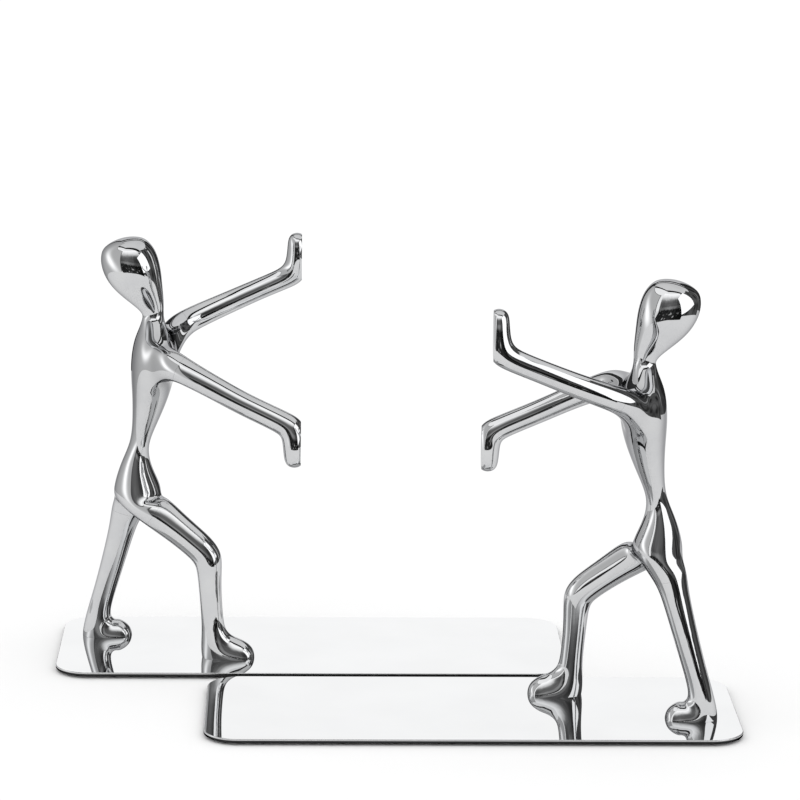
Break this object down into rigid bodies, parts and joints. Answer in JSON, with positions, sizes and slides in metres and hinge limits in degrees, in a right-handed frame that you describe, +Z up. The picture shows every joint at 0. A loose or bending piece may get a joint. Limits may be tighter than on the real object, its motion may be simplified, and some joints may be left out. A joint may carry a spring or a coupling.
{
  "type": "pair of bookends",
  "caption": "Pair of bookends: slim polished metal figures on thin steel plates lean forward and push the books with both palms.",
  "frame": {"origin": "on the shelf, midway between the two bookends", "axes": "+X from the left bookend to the right one, the way the left figure pushes; +Y away from the viewer; +Z up"},
  "size_m": [0.26, 0.1682, 0.167],
  "materials": {
    "figure_chrome": "mirror-polished zinc casting, chrome plated",
    "plate_steel": "mirror-polished thin steel plate with eased edges",
    "screw_steel": "zinc-plated steel countersunk socket screw",
    "pad_rubber": "thin matt black anti-slip pad"
  },
  "bodies": {
    "left_bookend": {"left_bookend_base_plate": "plate_steel", "left_bookend_torso": "figure_chrome", "left_bookend_head": "figure_chrome", "left_bookend_right_arm": "figure_chrome", "left_bookend_left_arm": "figure_chrome", "left_bookend_right_leg": "figure_chrome", "left_bookend_left_leg": "figure_chrome", "left_bookend_right_foot_screw": "screw_steel", "left_bookend_left_foot_screw": "screw_steel", "left_bookend_outer_left_pad": "pad_rubber", "left_bookend_outer_right_pad": "pad_rubber", "left_bookend_inner_left_pad": "pad_rubber", "left_bookend_inner_right_pad": "pad_rubber"},
    "right_bookend": {"right_bookend_base_plate": "plate_steel", "right_bookend_torso": "figure_chrome", "right_bookend_head": "figure_chrome", "right_bookend_right_arm": "figure_chrome", "right_bookend_left_arm": "figure_chrome", "right_bookend_right_leg": "figure_chrome", "right_bookend_left_leg": "figure_chrome", "right_bookend_right_foot_screw": "screw_steel", "right_bookend_left_foot_screw": "screw_steel", "right_bookend_outer_left_pad": "pad_rubber", "right_bookend_outer_right_pad": "pad_rubber", "right_bookend_inner_left_pad": "pad_rubber", "right_bookend_inner_right_pad": "pad_rubber"}
  },
  "joints": [
    {"name": "book_space_slide", "type": "slide", "parent": "left_bookend", "child": "right_bookend", "axis": [1, 0, 0], "range_m": [-0.068, 0.231]}
  ]
}
